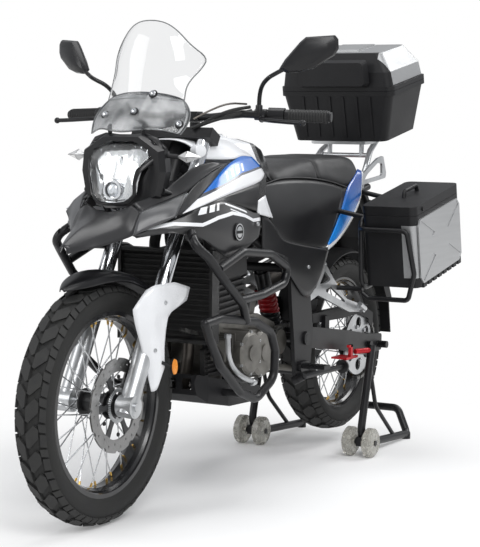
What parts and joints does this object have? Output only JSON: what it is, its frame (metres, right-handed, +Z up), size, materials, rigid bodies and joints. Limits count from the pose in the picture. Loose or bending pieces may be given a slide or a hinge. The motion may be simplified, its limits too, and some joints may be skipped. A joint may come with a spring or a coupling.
{
  "type": "adventure motorcycle",
  "caption": "Adventure motorcycle with spoked wheels, tall windscreen, crash bars, side panniers and a top box, standing on a paddock stand.",
  "frame": {"origin": "on the ground, at the middle of the overall length and width", "axes": "+X forward, +Y to the rider's left, +Z up"},
  "size_m": [2.105, 0.9332, 1.3685],
  "materials": {
    "tyre": "matt black rubber",
    "rim_black": "black anodised",
    "spoke_steel": "bright spokes and grey hub",
    "disc_steel": "ground steel",
    "frame_grey": "dark grey paint",
    "black_metal": "satin black powder coat",
    "engine_grey": "cast grey",
    "engine_black": "black cast",
    "silver": "silver cast",
    "chrome": "hard chrome",
    "steel_pipe": "brushed stainless",
    "white_paint": "gloss white",
    "graphite": "graphite",
    "black_plastic": "textured black",
    "seat_cover": "black vinyl",
    "clear": "clear",
    "smoke": "grey translucent",
    "lamp": "clear lens over reflector",
    "roller": "grey translucent plastic",
    "red": "red",
    "box_silver": "silver grey"
  },
  "bodies": {
    "chassis": {"beak": "graphite", "belly_pan": "black_plastic", "chain_guard": "black_plastic", "crash_bars": "black_metal", "drive_chain": "disc_steel", "engine_case": "engine_black", "engine_covers": "silver", "engine_cylinder": "engine_grey", "exhaust": "steel_pipe", "foot_pegs": "silver", "fuel_tank": "white_paint", "headlight": "lamp", "lamps": "lamp", "luggage_rack": "silver", "main_frame": "frame_grey", "nose_fairing": "black_plastic", "paddock_stand": "black_metal", "pannier_left": "black_plastic", "pannier_panels": "box_silver", "pannier_racks": "black_metal", "pannier_right": "black_plastic", "peg_hangers": "silver", "pillion_seat": "seat_cover", "radiator": "black_metal", "rear_mudguard": "black_plastic", "rider_seat": "seat_cover", "screen_lower": "smoke", "seat_skirts": "seat_cover", "shock_absorber": "red", "side_covers": "graphite", "side_shrouds": "graphite", "stand_hooks": "red", "swingarm": "black_metal", "tail_panels": "white_paint", "tank_wings": "white_paint", "top_box_base": "black_plastic", "windscreen": "clear"},
    "steering": {"fork_stanchions": "chrome", "fork_lowers": "black_metal", "fork_yokes": "black_metal", "handlebar": "black_metal", "mirrors": "black_plastic", "front_mudguard": "black_plastic", "fork_guards": "white_paint", "front_caliper": "black_metal"},
    "front_wheel": {"front_tyre": "tyre", "front_rim": "rim_black", "front_hub": "spoke_steel", "front_disc": "disc_steel"},
    "rear_wheel": {"rear_tyre": "tyre", "rear_rim": "rim_black", "rear_hub": "spoke_steel", "rear_sprocket": "disc_steel"},
    "side_stand": {"side_stand": "black_metal"},
    "top_box_lid": {"top_box_lid": "box_silver", "backrest_pad": "seat_cover"},
    "pannier_lid_left": {"pannier_lid_left": "black_plastic"},
    "pannier_lid_right": {"pannier_lid_right": "black_plastic"},
    "rollers_left": {"rollers_left": "roller"},
    "rollers_right": {"rollers_right": "roller"}
  },
  "joints": [
    {"name": "steering", "type": "hinge", "parent": "chassis", "child": "steering", "pos_m": [0.34604, 0, 0.95], "axis": [-0.4772, 0, 0.8788], "range_deg": [-38, 38]},
    {"name": "front_wheel_spin", "type": "hinge", "parent": "steering", "child": "front_wheel", "pos_m": [0.7225, 0, 0.33], "axis": [0, 1, 0], "continuous": true},
    {"name": "rear_wheel_spin", "type": "hinge", "parent": "chassis", "child": "rear_wheel", "pos_m": [-0.7125, 0, 0.347], "axis": [0, 1, 0], "continuous": true},
    {"name": "side_stand_swing", "type": "hinge", "parent": "chassis", "child": "side_stand", "pos_m": [-0.15, 0.158, 0.3], "axis": [0, -0.891, -0.454], "range_deg": [0, 105]},
    {"name": "top_box_lid_hinge", "type": "hinge", "parent": "chassis", "child": "top_box_lid", "pos_m": [-0.70614, 0, 1.19976], "axis": [0, 1, 0], "range_deg": [0, 70]},
    {"name": "pannier_lid_left_hinge", "type": "hinge", "parent": "chassis", "child": "pannier_lid_left", "pos_m": [-0.5766, 0.443, 0.83684], "axis": [0.9816, 0, -0.1908], "range_deg": [-100, 0]},
    {"name": "pannier_lid_right_hinge", "type": "hinge", "parent": "chassis", "child": "pannier_lid_right", "pos_m": [-0.5766, -0.443, 0.83684], "axis": [0.9816, 0, -0.1908], "range_deg": [0, 100]},
    {"name": "rollers_left_spin", "type": "hinge", "parent": "chassis", "child": "rollers_left", "pos_m": [-0.526, 0.204, 0.048], "axis": [0, 1, 0], "continuous": true},
    {"name": "rollers_right_spin", "type": "hinge", "parent": "chassis", "child": "rollers_right", "pos_m": [-0.526, -0.204, 0.048], "axis": [0, 1, 0], "continuous": true}
  ]
}
